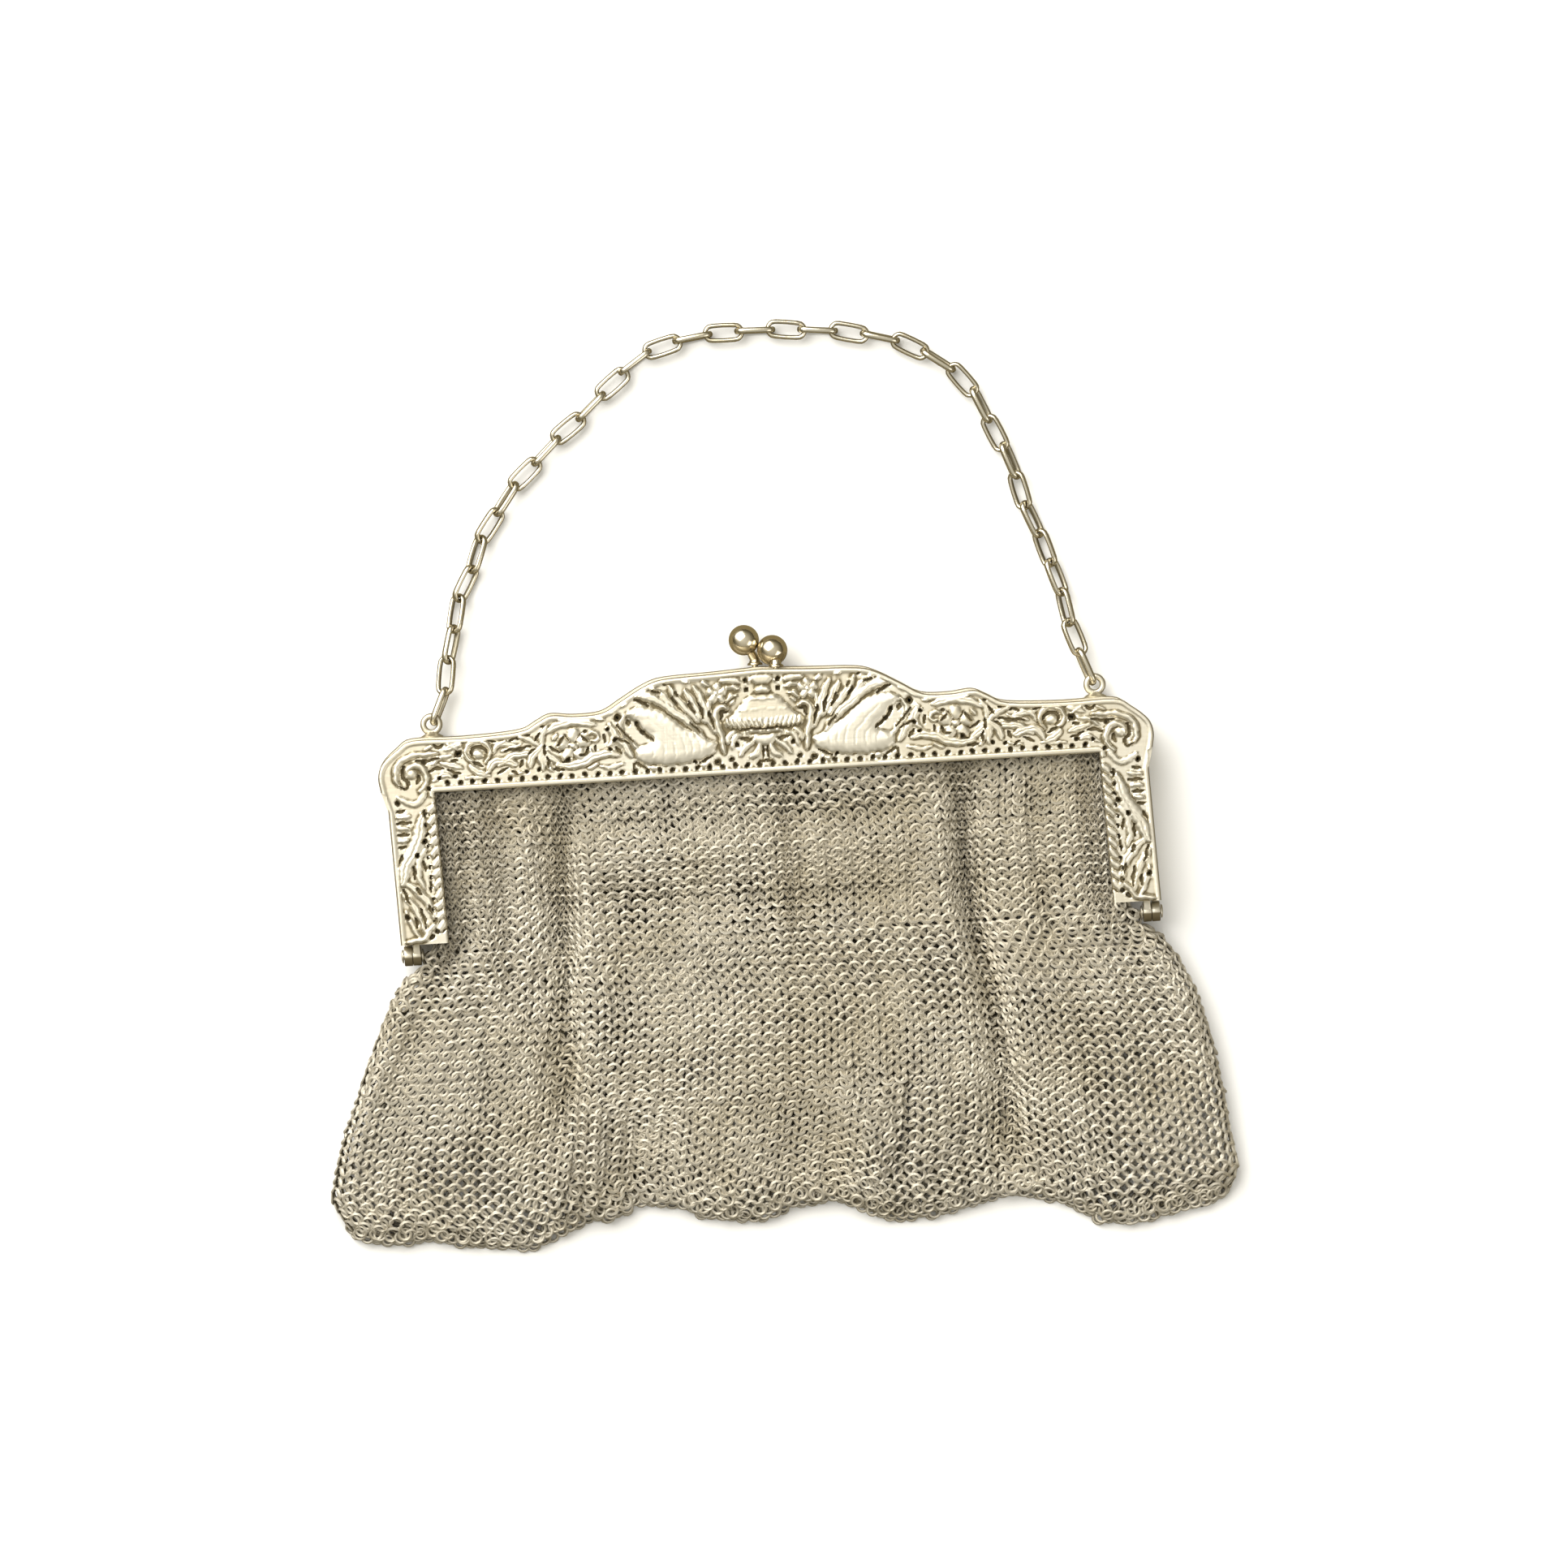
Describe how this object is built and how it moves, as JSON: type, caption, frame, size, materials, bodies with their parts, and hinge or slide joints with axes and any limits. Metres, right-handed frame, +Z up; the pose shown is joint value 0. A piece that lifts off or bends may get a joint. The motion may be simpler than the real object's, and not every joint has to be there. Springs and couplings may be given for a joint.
{
  "type": "metal mesh purse",
  "caption": "Antique metal mesh purse lying closed on its back: a pierced relief frame with a ball clasp, a soft ring-mesh bag and a long oval-link carrying chain.",
  "frame": {"origin": "middle of the purse's outline, on the surface that it lies on", "axes": "+X across the frame to the viewer's right, +Y from the hem towards the chain, +Z up out of the front face"},
  "size_m": [0.1786, 0.1812, 0.0127],
  "materials": {
    "frame_silver": "cast silver, worn bright on the relief, dark in the recesses",
    "ball_silver": "polished",
    "mesh_silver": "small bright rings over dark gaps",
    "chain_silver": "smooth drawn wire"
  },
  "bodies": {
    "root": {"frame_front": "frame_silver", "frame_back": "frame_silver", "hinge_pin_left": "frame_silver", "hinge_pin_right": "frame_silver", "clasp_ball_front": "ball_silver", "clasp_ball_back": "ball_silver", "chain_eye_left": "frame_silver", "chain_eye_right": "frame_silver", "mesh_bag": "mesh_silver", "link_01": "chain_silver", "link_02": "chain_silver", "link_03": "chain_silver", "link_04": "chain_silver", "link_05": "chain_silver", "link_06": "chain_silver", "link_07": "chain_silver", "link_08": "chain_silver", "link_09": "chain_silver", "link_10": "chain_silver", "link_11": "chain_silver", "link_12": "chain_silver", "link_13": "chain_silver", "link_14": "chain_silver", "link_15": "chain_silver", "link_16": "chain_silver", "link_17": "chain_silver", "link_18": "chain_silver", "link_19": "chain_silver", "link_20": "chain_silver", "link_21": "chain_silver", "link_22": "chain_silver", "link_23": "chain_silver", "link_24": "chain_silver", "link_25": "chain_silver", "link_26": "chain_silver", "link_27": "chain_silver", "link_28": "chain_silver", "link_29": "chain_silver", "link_30": "chain_silver", "link_31": "chain_silver", "link_32": "chain_silver", "link_33": "chain_silver", "link_34": "chain_silver", "link_35": "chain_silver"}
  },
  "joints": []
}
